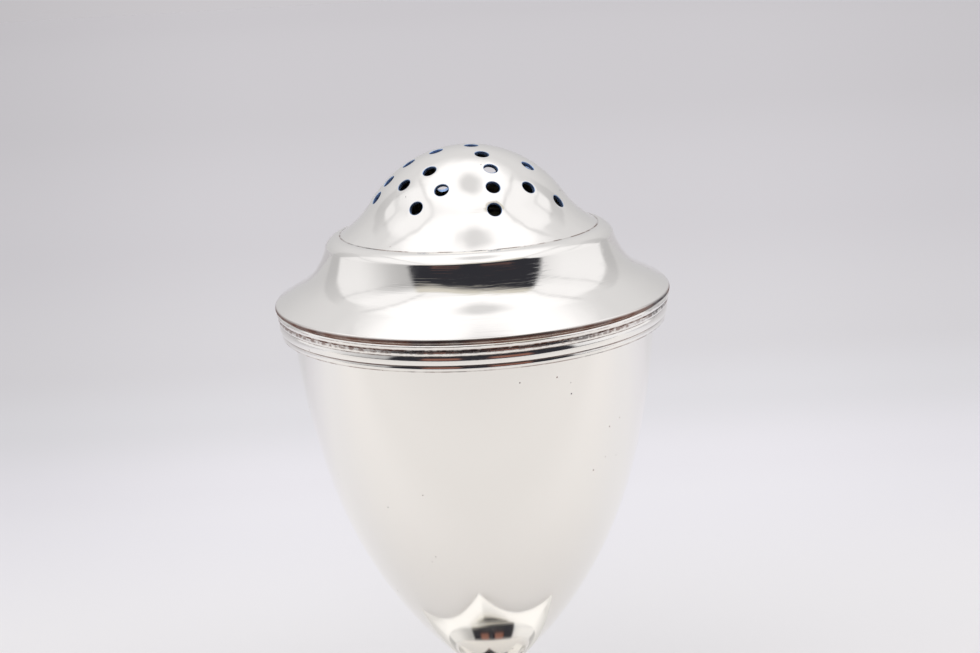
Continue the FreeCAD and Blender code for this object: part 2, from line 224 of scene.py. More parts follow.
tarnish_line, line_in, line_out = new_group(
    "tarnish_line",
    dict(zip(LINE_VALUES, (10.0, 10.0, 0.2, 0.5, 0.5, 1.0))),
    ("Mask",),
)
line_place = place_in_millimetres(tarnish_line)
line_parts = node(tarnish_line, "ShaderNodeSeparateXYZ", {0: line_place}).outputs
line_radius = length_of(tarnish_line, line_parts["X"], line_parts["Y"])
off_radius = maths(tarnish_line, "SUBTRACT", line_radius, line_in.outputs["Radius"])
off_height = maths(tarnish_line, "SUBTRACT", line_parts["Z"], line_in.outputs["Height"])
off_line = length_of(tarnish_line, off_radius, off_height)
nearness = maths(tarnish_line, "DIVIDE", off_line, line_in.outputs["Reach"])
core = fade(tarnish_line, nearness, SOLID_SHARE, 1.0, 1.0, 0.0)
line_grain = noise(tarnish_line, line_place, line_in.outputs["Grain"], detail=4.0)
patches = fade(tarnish_line, line_grain, *PATCH_SHARE)
kept = maths(tarnish_line, "SUBTRACT", 1.0, maths(
    tarnish_line, "MULTIPLY", line_in.outputs["Patchiness"],
    maths(tarnish_line, "SUBTRACT", 1.0, patches)))
strong = maths(tarnish_line, "MULTIPLY", core, line_in.outputs["Strength"])
tarnish_line.links.new(maths(tarnish_line, "MULTIPLY", strong, kept), line_out.inputs["Mask"])

SILVER = (0.965, 0.95, 0.91, 1)
TARNISH_BROWN = (0.19, 0.095, 0.07, 1)
TARNISH_BLACK = (0.07, 0.055, 0.06, 1)
BLACK_SCALE = 0.15
BLACK_SHARE = (0.5, 0.64)
PIT_TARNISH = 0.75
TARNISH_DULLNESS = 0.35


def tint(tree, mask, under, over):
    """Colour over another where the mask is 1."""
    mixed = node(tree, "ShaderNodeMix", {"Factor": mask, 6: under, 7: over}, data_type="RGBA")
    return mixed.outputs[2]


def add_group(tree, group, values=None):
    """The group's outputs, placed in a material with its own values."""
    placed = node(tree, "ShaderNodeGroup", node_tree=group)
    for label, value in (values or {}).items():
        placed.inputs[label].default_value = value
    return placed.outputs


def tarnish_colour(tree):
    """Brown that goes over to violet black from place to place."""
    shade = fade(tree, noise(tree, place_in_millimetres(tree), BLACK_SCALE), *BLACK_SHARE)
    return tint(tree, shade, TARNISH_BROWN, TARNISH_BLACK)


def new_silver(name, metallic=1):
    """New material of silver, its node tree and its shader."""
    material = bpy.data.materials.new(name)
    material.use_nodes = True
    shader = material.node_tree.nodes["Principled BSDF"]
    shader.inputs["Metallic"].default_value = metallic
    return material, material.node_tree, shader


def give_surface(tree, shader, colour, roughness, height):
    """Links a colour, a roughness and a height in millimetres to the shader."""
    tree.links.new(colour, shader.inputs["Base Color"])
    tree.links.new(roughness, shader.inputs["Roughness"])
    bump = node(tree, "ShaderNodeBump", {"Height": height, "Distance": MM})
    tree.links.new(bump.outputs["Normal"], shader.inputs["Normal"])


def polished_silver(name, polish=None, lines=()):
    """Silver with the hand polish's own values and, for each of lines, a tarnish line with its
    LINE_VALUES in their order."""
    material, tree, shader = new_silver(name)
    surface = add_group(tree, hand_polish, polish)
    mask = maths(tree, "MULTIPLY", surface["Pits"], PIT_TARNISH)
    for line in lines:
        along_line = add_group(tree, tarnish_line, dict(zip(LINE_VALUES, line)))["Mask"]
        mask = maths(tree, "MAXIMUM", mask, along_line)
    colour = tint(tree, mask, SILVER, tarnish_colour(tree))
    duller = maths(tree, "MULTIPLY_ADD", mask, TARNISH_DULLNESS, surface["Roughness"])
    give_surface(tree, shader, colour, duller, surface["Height"])
    return material


border_half = PLINTH_HALF_SIDE - BORDER_WIDTH
border_height = PLINTH_HEIGHT - SHEET
plinth_border = new_piece("plinth_border", *skin([
    square_loop(border_half, INNER_CORNER_RADIUS, border_height),
    square_loop(border_half, INNER_CORNER_RADIUS, 0),
    square_loop(PLINTH_HALF_SIDE, CORNER_RADIUS, 0),
    square_loop(PLINTH_HALF_SIDE, CORNER_RADIUS, border_height),
], ends_meet=True))
ease_edges(plinth_border, width=0.08)
plinth_border.data.materials.append(polished_silver("border_silver"))
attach(plinth_border, "pot")
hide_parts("plinth_border")


# Plinth plate: a square of sheet silver with a round hole in it, hidden under the hollow
# foot. Its upper edges are rounded by filing and polishing.

PLATE_HOLE_RADIUS = 10.5
PLATE_EDGE_RADIUS = 0.25
PLATE_EDGE_STEPS = 5


def square_like_circle(radius, height):
    """Points around a circle, each in the direction of a point of the square loop."""
    points = []
    for corner in square_loop(PLINTH_HALF_SIDE, CORNER_RADIUS, height):
        direction = Vector((corner.x, corner.y, 0)).normalized()
        points.append(direction * radius + Vector((0, 0, height)))
    return points


plate_loops = [
    square_like_circle(PLATE_HOLE_RADIUS, PLINTH_HEIGHT),
    square_like_circle(PLATE_HOLE_RADIUS, border_height),
    square_loop(PLINTH_HALF_SIDE, CORNER_RADIUS, border_height),
]
for step in range(PLATE_EDGE_STEPS + 1):
    angle = math.radians(90) * step / PLATE_EDGE_STEPS
    inset = PLATE_EDGE_RADIUS * (1 - math.cos(angle))
    plate_loops.append(square_loop(
        PLINTH_HALF_SIDE - inset, CORNER_RADIUS - inset,
        PLINTH_HEIGHT - PLATE_EDGE_RADIUS + PLATE_EDGE_RADIUS * math.sin(angle),
    ))
plinth_plate = new_piece("plinth_plate", *skin(plate_loops, ends_meet=True))
ease_edges(plinth_plate, width=0.03, segments=2)
plinth_plate.data.materials.append(polished_silver("plate_silver"))
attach(plinth_plate, "pot")
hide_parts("plinth_plate")


# Bowl: one raised shell of silver, egg-shaped, its outline three arcs that run into each
# other from the rounded bottom up to the mouth.

BOWL_BOTTOM_HEIGHT = 13.0
BOWL_BOTTOM_RADIUS = 6.8
BOWL_LOWER_ANGLE = 47
BOWL_LOWER_RADIUS = 61.0
BOWL_SIDE_ANGLE = 76
BOWL_SIDE_RADIUS = 99.0
MOUTH_HEIGHT = 62.97
TURN_STEPS = 288
ARC_STEPS = 4
ON_AXIS = 1e-6


def above(centre, radius, angle):
    """Point at an angle from straight up about a centre."""
    angle = math.radians(angle)
    return centre[0] + radius * math.sin(angle), centre[1] + radius * math.cos(angle)


def below(centre, radius, angle):
    """Point at an angle from straight down about a centre."""
    angle = math.radians(angle)
    return centre[0] + radius * math.sin(angle), centre[1] - radius * math.cos(angle)


def outline(corners, arcs, spacing=0.22):
    """Points along a closed outline. arcs gives the centre of a side that is an arc, and the
    points of an arc lie about the spacing apart."""
    points = []
    for side, start in enumerate(corners):
        end = corners[(side + 1) % len(corners)]
        points.append(start)
        if side not in arcs:
            continue
        centre = Vector(arcs[side])
        first, last = Vector(start) - centre, Vector(end) - centre
        sweep = first.angle_signed(last)
        steps = max(ARC_STEPS, math.ceil(abs(sweep) * first.length / spacing))
        for step in range(1, steps):
            points.append(tuple(centre + Matrix.Rotation(-sweep * step / steps, 2) @ first))
    return points


def turned_piece(name, points):
    """Mesh of a closed outline turned about the upright axis. Points on the axis are poles."""
    corners, faces, rings = [], [], []
    for radius, height in points:
        ring = range(len(corners), len(corners) + (TURN_STEPS if radius > ON_AXIS else 1))
        rings.append(ring)
        for step in ring:
            angle = 2 * math.pi * (step - ring[0]) / TURN_STEPS
            corners.append((radius * math.cos(angle), radius * math.sin(angle), height))
    for number, ring in enumerate(rings):
        after = rings[(number + 1) % len(rings)]
        if len(ring) == len(after) == 1:
            continue
        for step in range(TURN_STEPS):
            ahead = (step + 1) % TURN_STEPS
            side = [ring[step % len(ring)], after[step % len(after)],
                    after[ahead % len(after)], ring[ahead % len(ring)]]
            faces.append(tuple(dict.fromkeys(side)))
    piece = new_piece(name, corners, faces)
    shape = bmesh.new()
    shape.from_mesh(piece.data)
    bmesh.ops.recalc_face_normals(shape, faces=shape.faces)
    shape.to_mesh(piece.data)
    shape.free()
    return piece


bottom_centre = (0, BOWL_BOTTOM_HEIGHT + BOWL_BOTTOM_RADIUS)
lower_centre = below(bottom_centre, BOWL_BOTTOM_RADIUS - BOWL_LOWER_RADIUS, BOWL_LOWER_ANGLE)
side_centre = below(lower_centre, BOWL_LOWER_RADIUS - BOWL_SIDE_RADIUS, BOWL_SIDE_ANGLE)


def bowl_radius_at(height, depth=0.0):
    """Radius of the bowl's upper side at a height, at a depth below its outer face."""
    return side_centre[0] + math.sqrt(
        (BOWL_SIDE_RADIUS - depth) ** 2 - (height - side_centre[1]) ** 2
    )


bowl = turned_piece("bowl", outline(
    [
        (0, BOWL_BOTTOM_HEIGHT),
        below(bottom_centre, BOWL_BOTTOM_RADIUS, BOWL_LOWER_ANGLE),
        below(lower_centre, BOWL_LOWER_RADIUS, BOWL_SIDE_ANGLE),
        (bowl_radius_at(MOUTH_HEIGHT), MOUTH_HEIGHT),
        (bowl_radius_at(MOUTH_HEIGHT, SHEET), MOUTH_HEIGHT),
        below(lower_centre, BOWL_LOWER_RADIUS - SHEET, BOWL_SIDE_ANGLE),
        below(bottom_centre, BOWL_BOTTOM_RADIUS - SHEET, BOWL_LOWER_ANGLE),
        (0, BOWL_BOTTOM_HEIGHT + SHEET),
    ],
    {0: bottom_centre, 1: lower_centre, 2: side_centre,
     4: side_centre, 5: lower_centre, 6: bottom_centre},
))

GREYED_SILVER = (0.55, 0.52, 0.45, 1)
CLOUD_SCALE = 0.35
CLOUD_SHARE = (0.4, 0.7)
CLOUD_PALER = 1.5


def dull_inside(name, colour=GREYED_SILVER, roughness=0.5):
    """Unpolished, greyed silver with traces of powder."""
    material, tree, shader = new_silver(name, metallic=0.85)
    surface = add_group(tree, hand_polish, {"Base Roughness": roughness, "Smear": 0.2})
    clouds = noise(tree, place_in_millimetres(tree), CLOUD_SCALE, detail=5.0)
    paler = tuple(min(1, part * CLOUD_PALER) for part in colour[:3]) + (1,)
    clouded = tint(tree, fade(tree, clouds, *CLOUD_SHARE), colour, paler)
    give_surface(tree, shader, clouded, surface["Roughness"], surface["Height"])
    return material


def line_inside(piece, faces_outwards):
    """Gives the faces that look inwards the piece's second material."""
    for face in piece.data.polygons:
        if not faces_outwards(face):
            face.material_index = 1


bowl.data.materials.append(polished_silver("bowl_silver", {"Wave Depth": 0.004}))
bowl.data.materials.append(dull_inside("bowl_inside"))
BOWL_MIDDLE_HEIGHT = 40
FACES_UP = 0.99


def bowl_face_outwards(face):
    """True where the face looks away from the middle of the bowl, or is the mouth's flat rim."""
    below_middle = min(0, face.center.z - BOWL_MIDDLE_HEIGHT * MM)
    outwards = Vector((face.center.x, face.center.y, below_middle))
    return face.normal.dot(outwards) > 0 or face.normal.z > FACES_UP


line_inside(bowl, bowl_face_outwards)
ease_edges(bowl, width=0.05)
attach(bowl, "pot")
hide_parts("bowl")


# Pedestal: a hollow trumpet of sheet silver, soldered to the bowl's rounded bottom at its
# neck and to the plate at a short upright edge.

NECK_RADIUS = 4.5
STEM_FLARE_RADIUS = 13.0
FOOT_FLARE_RADIUS = 9.2
FLARE_CHANGE_ANGLE = 42
PEDESTAL_RADIUS = 12.3


def bowl_underside_at(radius):
    return bottom_centre[1] - math.sqrt(BOWL_BOTTOM_RADIUS ** 2 - radius ** 2)


stem_centre = (NECK_RADIUS + STEM_FLARE_RADIUS, bowl_underside_at(NECK_RADIUS))
foot_centre = above(stem_centre, FOOT_FLARE_RADIUS - STEM_FLARE_RADIUS, FLARE_CHANGE_ANGLE)


def foot_height_at(radius, depth=0.0):
    """Height of the foot's flare at a radius, at a depth below its outer face."""
    return foot_centre[1] - math.sqrt(
        (FOOT_FLARE_RADIUS + depth) ** 2 - (foot_centre[0] - radius) ** 2
    )


neck_height = bowl_underside_at(NECK_RADIUS)
pedestal = turned_piece("pedestal", outline(
    [
        (NECK_RADIUS, neck_height),
        above(stem_centre, -STEM_FLARE_RADIUS, FLARE_CHANGE_ANGLE),
        (PEDESTAL_RADIUS, foot_height_at(PEDESTAL_RADIUS)),
        (PEDESTAL_RADIUS, PLINTH_HEIGHT),
        (PEDESTAL_RADIUS - SHEET, PLINTH_HEIGHT),
        (PEDESTAL_RADIUS - SHEET, foot_height_at(PEDESTAL_RADIUS - SHEET, SHEET)),
        above(stem_centre, -STEM_FLARE_RADIUS - SHEET, FLARE_CHANGE_ANGLE),
        (NECK_RADIUS - SHEET, bowl_underside_at(NECK_RADIUS - SHEET)),
    ],
    {0: stem_centre, 1: foot_centre, 5: foot_centre, 6: stem_centre, 7: bottom_centre},
))
pedestal.data.materials.append(polished_silver("pedestal_silver", lines=(
    (NECK_RADIUS, neck_height, 0.35, 0.4),
    (PEDESTAL_RADIUS, PLINTH_HEIGHT, 0.25, 0.6),
)))
ease_edges(pedestal, width=0.08)
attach(pedestal, "pot")
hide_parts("pedestal")


# Bowl rim wire: reeded wire soldered around the mouth, three reeds that lean out downwards,
# each set back under the one above. Polishing never reaches the grooves, so they stay brown.

BOWL_REEDS = (0.55, 1.12, 0.8)
REED_TOP_RADIUS = 23.97
REED_SET_BACK = 0.16
REED_LEAN = 6
REED_ROUNDNESS = 1.14


def reeds(first_side, heights):
    """Corners and arc centres of reeds stacked downwards from the mouth."""
    corners, arcs = [], {}
    lean = math.radians(REED_LEAN)
    top = MOUTH_HEIGHT
    for number, height in enumerate(heights):
        top_radius = REED_TOP_RADIUS - number * REED_SET_BACK
        inset = height / math.cos(lean) * math.sqrt(REED_ROUNDNESS ** 2 - 0.25)
        arcs[first_side + 2 * number] = (
            top_radius + height / 2 * math.tan(lean) - inset * math.cos(lean),
            top - height / 2 - inset * math.sin(lean),
        )
        corners.append((top_radius, top))
        corners.append((top_radius + height * math.tan(lean), top - height))
        top -= height
    return corners, arcs


reed_corners, reed_arcs = reeds(1, BOWL_REEDS)
wire_bottom = reed_corners[-1][1]
reed_arcs[len(reed_corners) + 1] = side_centre
bowl_rim_wire = turned_piece("bowl_rim_wire", outline(
    [(bowl_radius_at(MOUTH_HEIGHT), MOUTH_HEIGHT)]
    + reed_corners
    + [(bowl_radius_at(wire_bottom), wire_bottom)],
    reed_arcs, spacing=0.06,
))
bowl_rim_wire.data.materials.append(polished_silver("bowl_wire_silver", lines=(
    (*reed_corners[2], 0.24, 0.6, 0.8, 0.8),
    (*reed_corners[4], 0.3, 0.2, 0.5),
    (REED_TOP_RADIUS, MOUTH_HEIGHT, 0.16, 0.5, 1.5),
    (REED_TOP_RADIUS, MOUTH_HEIGHT - 0.15, 0.34, 0.8, 1.6, 0.75),
    (*reed_corners[5], 0.2, 0.6, 0.6, 0.7),
)))
ease_edges(bowl_rim_wire, width=0.02, segments=2)
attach(bowl_rim_wire, "pot")
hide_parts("bowl_rim_wire")


# Cover shoulder: one spun ring of sheet silver. A narrow bead carries the dome, a hollow
# cove sweeps down from it, and the sloping flange ends in a rolled lip, filed flat below.

FLANGE_RADIUS = 24.3
FLANGE_UNDERSIDE = 63.88
LIP_RADIUS = 0.5
LIP_HEIGHT = 63.96
FLANGE_SLOPE = 29
FLANGE_WIDTH = 3.14
LOWER_COVE_RADIUS = 6.8
COVE_CHANGE_ANGLE = 58
UPPER_COVE_RADIUS = 10.4
COVE_TOP_ANGLE = 74
BEAD_EDGE_RADIUS = 0.5
BEAD_EDGE_ANGLE = 58
BEAD_RADIUS = 2.18
CREASE_RADIUS = 15.8
INNER_COVE_ANGLE = 70
INNER_BEAD_ANGLE = 45

slope = math.radians(FLANGE_SLOPE)
lip_centre = (FLANGE_RADIUS - LIP_RADIUS, LIP_HEIGHT)
lip_top = above(lip_centre, LIP_RADIUS, FLANGE_SLOPE)
cove_end = (
    lip_top[0] - FLANGE_WIDTH * math.cos(slope),
    lip_top[1] + FLANGE_WIDTH * math.sin(slope),
)
lower_cove_centre = above(cove_end, LOWER_COVE_RADIUS, FLANGE_SLOPE)
upper_cove_centre = above(
    lower_cove_centre, UPPER_COVE_RADIUS - LOWER_COVE_RADIUS, COVE_CHANGE_ANGLE
)
bead_edge_centre = above(
    upper_cove_centre, -UPPER_COVE_RADIUS - BEAD_EDGE_RADIUS, COVE_TOP_ANGLE
)
bead_centre = above(bead_edge_centre, BEAD_EDGE_RADIUS - BEAD_RADIUS, BEAD_EDGE_ANGLE)
sheet_upright = SHEET / math.cos(slope)


def flange_inside_at(radius):
    """Height of the flange's sloping inner side at a radius."""
    return lip_top[1] + (lip_top[0] - radius) * math.tan(slope) - sheet_upright


def bead_height_at_crease(depth=0.0):
    """Height of the bead where it meets the dome, at a depth below its outer face."""
    return bead_centre[1] + math.sqrt(
        (BEAD_RADIUS - depth) ** 2 - (CREASE_RADIUS - bead_centre[0]) ** 2
    )


flat_radius = lip_top[0] - (FLANGE_UNDERSIDE - lip_top[1] + sheet_upright) / math.tan(slope)
cover_shoulder = turned_piece("cover_shoulder", outline(
    [
        (CREASE_RADIUS, bead_height_at_crease()),
        above(bead_edge_centre, BEAD_EDGE_RADIUS, BEAD_EDGE_ANGLE),
        above(upper_cove_centre, -UPPER_COVE_RADIUS, COVE_TOP_ANGLE),
        above(lower_cove_centre, -LOWER_COVE_RADIUS, COVE_CHANGE_ANGLE),
        cove_end,
        lip_top,
        (FLANGE_RADIUS, LIP_HEIGHT),
        (FLANGE_RADIUS, FLANGE_UNDERSIDE),
        (flat_radius, FLANGE_UNDERSIDE),
        above(lower_cove_centre, -LOWER_COVE_RADIUS - SHEET, FLANGE_SLOPE),
        above(lower_cove_centre, -LOWER_COVE_RADIUS - SHEET, COVE_CHANGE_ANGLE),
        above(upper_cove_centre, -UPPER_COVE_RADIUS - SHEET, INNER_COVE_ANGLE),
        above(bead_centre, BEAD_RADIUS - SHEET, INNER_BEAD_ANGLE),
        (CREASE_RADIUS, bead_height_at_crease(SHEET)),
    ],
    {0: bead_centre, 1: bead_edge_centre, 2: upper_cove_centre, 3: lower_cove_centre,
     5: lip_centre, 9: lower_cove_centre, 10: upper_cove_centre, 12: bead_centre},
    spacing=0.1,
))
crease_height = bead_height_at_crease()
shoulder_polish = {"Wave Depth": 0.025, "Hairline Depth": 0.002}
cover_shoulder.data.materials.append(polished_silver("shoulder_silver", shoulder_polish, (
    (CREASE_RADIUS, crease_height, 0.15, 0.8, 0.7, 0.8),
    (FLANGE_RADIUS, FLANGE_UNDERSIDE + 0.04, 0.46, 0.1),
)))
ease_edges(cover_shoulder, width=0.03, segments=2)
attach(cover_shoulder, "cover")
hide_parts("cover_shoulder")


# Cover rim wire: one wire filed to a blunt ridge and soldered under the flange. It closes
# down on the bowl's wire with a hair's breadth between them.

RIDGE_GROOVE_RADIUS = 23.85
RIDGE_RADIUS = 24.2
RIDGE_HEIGHT = 63.42
RIDGE_ROUNDNESS = 0.12
RIDGE_TOP_ANGLE = 50
RIDGE_FOOT_ANGLE = 102
RIDGE_FOOT_RADIUS = 24.12
COVER_WIRE_BORE = 22.3
COVER_GAP = 0.06

ridge_centre = (RIDGE_RADIUS - RIDGE_ROUNDNESS, RIDGE_HEIGHT)
wire_foot = MOUTH_HEIGHT + COVER_GAP
cover_rim_wire = turned_piece("cover_rim_wire", outline(
    [
        (COVER_WIRE_BORE, flange_inside_at(COVER_WIRE_BORE)),
        (flat_radius, FLANGE_UNDERSIDE),
        (RIDGE_GROOVE_RADIUS, FLANGE_UNDERSIDE),
        above(ridge_centre, RIDGE_ROUNDNESS, RIDGE_TOP_ANGLE),
        above(ridge_centre, RIDGE_ROUNDNESS, RIDGE_FOOT_ANGLE),
        (RIDGE_FOOT_RADIUS, wire_foot),
        (COVER_WIRE_BORE, wire_foot),
    ],
    {3: ridge_centre}, spacing=0.03,
))
cover_rim_wire.data.materials.append(polished_silver("cover_wire_silver", lines=(
    (RIDGE_GROOVE_RADIUS, FLANGE_UNDERSIDE, 0.1, 0.15),
    (RIDGE_RADIUS, RIDGE_HEIGHT, 0.1, 0.9, 0.8, 0.4),
    (RIDGE_FOOT_RADIUS, wire_foot, 0.16, 0.4, 1.5),
)))
ease_edges(cover_rim_wire, width=0.02, segments=2)
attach(cover_rim_wire, "cover")
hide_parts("cover_rim_wire")


# Cover bezel: the plain sleeve that pushes into the mouth. It is soldered under the flange
# and its outside is scuffed along its height by going in and out.

BEZEL_RADIUS = 21.2
BEZEL_SHEET = 0.5
BEZEL_DEPTH = 5.2
RUBBED_SILVER = (0.86, 0.84, 0.81, 1)
SCUFF_STRETCH = (6.0, 6.0, 0.15)
SCUFF_DEPTH = 0.004
SCUFF_ROUGHNESS = 0.2
TARNISH_RISE = 0.6
TARNISH_REACH = 1.6
TARNISH_STRENGTH = 0.8

bezel_bore = BEZEL_RADIUS - BEZEL_SHEET
bezel_foot = MOUTH_HEIGHT - BEZEL_DEPTH
cover_bezel = turned_piece("cover_bezel", outline(
    [
        (BEZEL_RADIUS, bezel_foot),
        (BEZEL_RADIUS, flange_inside_at(BEZEL_RADIUS)),
        (bezel_bore, flange_inside_at(bezel_bore)),
        (bezel_bore, bezel_foot),
    ],
    {},
))


def worn_silver(name):
    """Silver scuffed by rubbing up and down, brown towards the flange."""
    material, tree, shader = new_silver(name)
    stretched = node(tree, "ShaderNodeMapping",
                     {"Vector": place_in_millimetres(tree), "Scale": SCUFF_STRETCH})
    scuffs = noise(tree, stretched.outputs["Vector"], 1.0, detail=4.0)
    surface = add_group(tree, hand_polish, {"Base Roughness": 0.2, "Smear": 0.15})
    line = add_group(tree, tarnish_line, {
        "Radius": BEZEL_RADIUS, "Height": wire_foot + TARNISH_RISE, "Reach": TARNISH_REACH,
        "Patchiness": 0.3, "Strength": TARNISH_STRENGTH})
    colour = tint(tree, line["Mask"], RUBBED_SILVER, tarnish_colour(tree))
    rough = maths(tree, "MULTIPLY_ADD", scuffs, SCUFF_ROUGHNESS, surface["Roughness"])
    height = maths(tree, "MULTIPLY_ADD", scuffs, SCUFF_DEPTH, surface["Height"])
    give_surface(tree, shader, colour, rough, height)
    return material


cover_bezel.data.materials.append(worn_silver("bezel_silver"))
ease_edges(cover_bezel, width=0.08)
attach(cover_bezel, "cover")
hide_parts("cover_bezel")


# Pierced dome: part of a sphere raised from sheet, flaring out to the crease where it is
# soldered to the bead. The holes were drilled by hand, so no ring of them is quite even.

DOME_RADIUS = 14.2
DOME_CENTRE_HEIGHT = 67.92
DOME_END_ANGLE = 56
DOME_FLARE_RADIUS = 12.7
DOME_SHEET = 0.4
HOLE_RADIUS = 0.825
HOLE_LIP = 0.07
HOLE_STEPS = 36
LIP_STEPS = 4
DOME_STEP = 0.34
CLEAR_OF_HOLE = 0.75
SAME_PLACE = 1e-7
CREASED_ANGLE = 40
# Bluish reflection painted on the hole walls and lips as their colour
HOLE_PAINTED_BLUE = (0.26, 0.38, 0.60, 1)

# Ring by ring from the crown: direction seen from above, from -Y towards +X, and angle
HOLES = (
    (9, 5),
    (-102, 15), (-8, 19), (80, 18), (170, 16),
    (-114, 29), (-68, 32), (-11, 32), (32, 35), (73, 34), (117, 34), (161, 31), (205, 30),
    (-111, 42), (-84, 42), (-51, 44), (-16, 44), (10, 47), (61, 49),
    (88, 44), (103, 45), (128, 46.5), (160, 43), (190, 45), (221, 43),
    (-109, 52), (-65, 54), (-19, 56), (29, 58), (72, 57), (116, 56), (161, 57), (205, 53),
)

flare_centre = above((0, DOME_CENTRE_HEIGHT), DOME_RADIUS + DOME_FLARE_RADIUS, DOME_END_ANGLE)
dome_run = math.radians(DOME_END_ANGLE) * DOME_RADIUS
crease_angle = math.asin((flare_centre[0] - CREASE_RADIUS) / DOME_FLARE_RADIUS)
flare_run = (math.radians(DOME_END_ANGLE) - crease_angle) * DOME_FLARE_RADIUS


def dome_point(run, azimuth, depth):
    """Point at a distance along the dome from its crown, at a depth below its outer face."""
    if run <= dome_run:
        lean = run / DOME_RADIUS
        radius, height = above((0, DOME_CENTRE_HEIGHT), DOME_RADIUS - depth, math.degrees(lean))
    else:
        lean = math.radians(DOME_END_ANGLE) - (run - dome_run) / DOME_FLARE_RADIUS
        radius, height = above(flare_centre, -DOME_FLARE_RADIUS - depth, math.degrees(lean))
    return Vector((radius * math.sin(azimuth), -radius * math.cos(azimuth), height))


def direction_of(azimuth, lean):
    azimuth, lean = math.radians(azimuth), math.radians(lean)
    return Vector((
        math.sin(lean) * math.sin(azimuth), -math.sin(lean) * math.cos(azimuth), math.cos(lean)
    ))


def hole_ring(hole, radius, depth):
    """Run and azimuth of points around a hole, at a radius about its axis and a depth."""
    axis = direction_of(*hole)
    across = axis.orthogonal().normalized()
    along = axis.cross(across)
    spread = math.asin(radius / (DOME_RADIUS - depth))
    places = []
    for step in range(HOLE_STEPS):
        turn = 2 * math.pi * step / HOLE_STEPS
        side = across * math.cos(turn) + along * math.sin(turn)
        way = axis * math.cos(spread) + side * math.sin(spread)
        places.append((math.acos(way.z) * DOME_RADIUS, math.atan2(way.x, -way.y)))
    return places


def flat_place(run, azimuth):
    return Vector((run * math.sin(azimuth), -run * math.cos(azimuth)))


hole_axes = [direction_of(*hole) for hole in HOLES]
clear_angle = (HOLE_RADIUS + HOLE_LIP + CLEAR_OF_HOLE * DOME_STEP) / DOME_RADIUS
rim_run = dome_run + flare_run
sheet_places = []
for hole in HOLES:
    sheet_places += hole_ring(hole, HOLE_RADIUS + HOLE_LIP, 0)
hole_place_count = len(sheet_places)
ring_count = round(rim_run / DOME_STEP)
for ring in range(ring_count + 1):
    run = rim_run * ring / ring_count
    count = max(1, round(2 * math.pi * run / DOME_STEP))
    for step in range(count):
        azimuth = 2 * math.pi * (step + 0.5 * (ring % 2)) / count
        way = direction_of(math.degrees(azimuth), math.degrees(run / DOME_RADIUS))
        if all(way.angle(axis) > clear_angle for axis in hole_axes):
            sheet_places.append((run, azimuth))
rim_count = count
rim_start = len(sheet_places) - rim_count
_, _, triangles, origins, _, _ = geometry.delaunay_2d_cdt(
    [flat_place(*place) for place in sheet_places], [], [], 0, SAME_PLACE
)
sources = [origin[0] for origin in origins]
sheet_faces = []
for triangle in triangles:
    face = [sources[corner] for corner in triangle]
    holes_met = {corner // HOLE_STEPS if corner < hole_place_count else None for corner in face}
    if None in holes_met or len(holes_met) > 1:
        sheet_faces.append(tuple(face))

dome_points = [dome_point(*place, 0) for place in sheet_places]
dome_faces = list(sheet_faces)
inner_start = len(dome_points)
edge_start = 2 * len(sheet_faces)
inner_places = list(sheet_places)
for number, hole in enumerate(HOLES):
    first = number * HOLE_STEPS
    inner_places[first:first + HOLE_STEPS] = hole_ring(hole, HOLE_RADIUS, DOME_SHEET)
dome_points += [dome_point(*place, DOME_SHEET) for place in inner_places]
dome_faces += [tuple(inner_start + corner for corner in reversed(face)) for face in sheet_faces]


def join_rings(first, second, count):
    """Quads between two rings of points that start at the given places."""
    return [
        (first + step, first + (step + 1) % count,
         second + (step + 1) % count, second + step)
        for step in range(count)
    ]


for number, hole in enumerate(HOLES):
    outer = number * HOLE_STEPS
    for step in range(1, LIP_STEPS + 1):
        angle = math.radians(90) * step / LIP_STEPS
        depth = HOLE_LIP * (1 - math.cos(angle))
        radius = HOLE_RADIUS + HOLE_LIP * (1 - math.sin(angle))
        inner = len(dome_points)
        dome_points += [dome_point(*place, depth) for place in hole_ring(hole, radius, depth)]
        dome_faces += join_rings(outer, inner, HOLE_STEPS)
        outer = inner
    dome_faces += join_rings(outer, inner_start + number * HOLE_STEPS, HOLE_STEPS)
dome_faces += join_rings(rim_start, inner_start + rim_start, rim_count)

pierced_dome = new_piece("pierced_dome", dome_points, dome_faces)
shape = bmesh.new()
shape.from_mesh(pierced_dome.data)
bmesh.ops.recalc_face_normals(shape, faces=shape.faces)
for edge in shape.edges:
    edge.smooth = edge.calc_face_angle(0) < math.radians(CREASED_ANGLE)
shape.to_mesh(pierced_dome.data)
shape.free()
dome_polish = {"Wave Depth": 0.07, "Pit Depth": 0.02}
pierced_dome.data.materials.append(polished_silver("dome_silver", dome_polish, (
    (CREASE_RADIUS, crease_height, 0.15, 0.8, 0.7, 0.8),
)))
pierced_dome.data.materials.append(dull_inside("dome_inside"))
# Hole walls and lips: greyed silver with a painted bluish reflection as their colour
pierced_dome.data.materials.append(dull_inside("hole_edges_painted_blue", HOLE_PAINTED_BLUE, 0.3))
for face in pierced_dome.data.polygons:
    if all(inner_start <= corner < 2 * inner_start for corner in face.vertices):
        face.material_index = 1
    elif face.index >= edge_start:
        face.material_index = 2
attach(pierced_dome, "cover")
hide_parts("pierced_dome")


# Camera: close to the pot and a little higher than its dome, looking down past the crease. It
# is turned towards a corner of the plinth and tilted as the photograph is.

CAMERA_PLACE = (-88.17, -130.71, 100.34)
CAMERA_ANGLES = (75.36, 2.99, -35.49)
CAMERA_LENS = 47.76

camera_data = bpy.data.cameras.new("camera")
camera_data.lens = CAMERA_LENS
camera_data.sensor_width = 36
camera_data.clip_start = 0.005
camera_data.clip_end = 100
camera = bpy.data.objects.new("camera", camera_data)
camera.location = Vector(CAMERA_PLACE) * MM
camera.rotation_euler = [math.radians(angle) for angle in CAMERA_ANGLES]
bpy.context.scene.collection.objects.link(camera)
bpy.context.scene.camera = camera
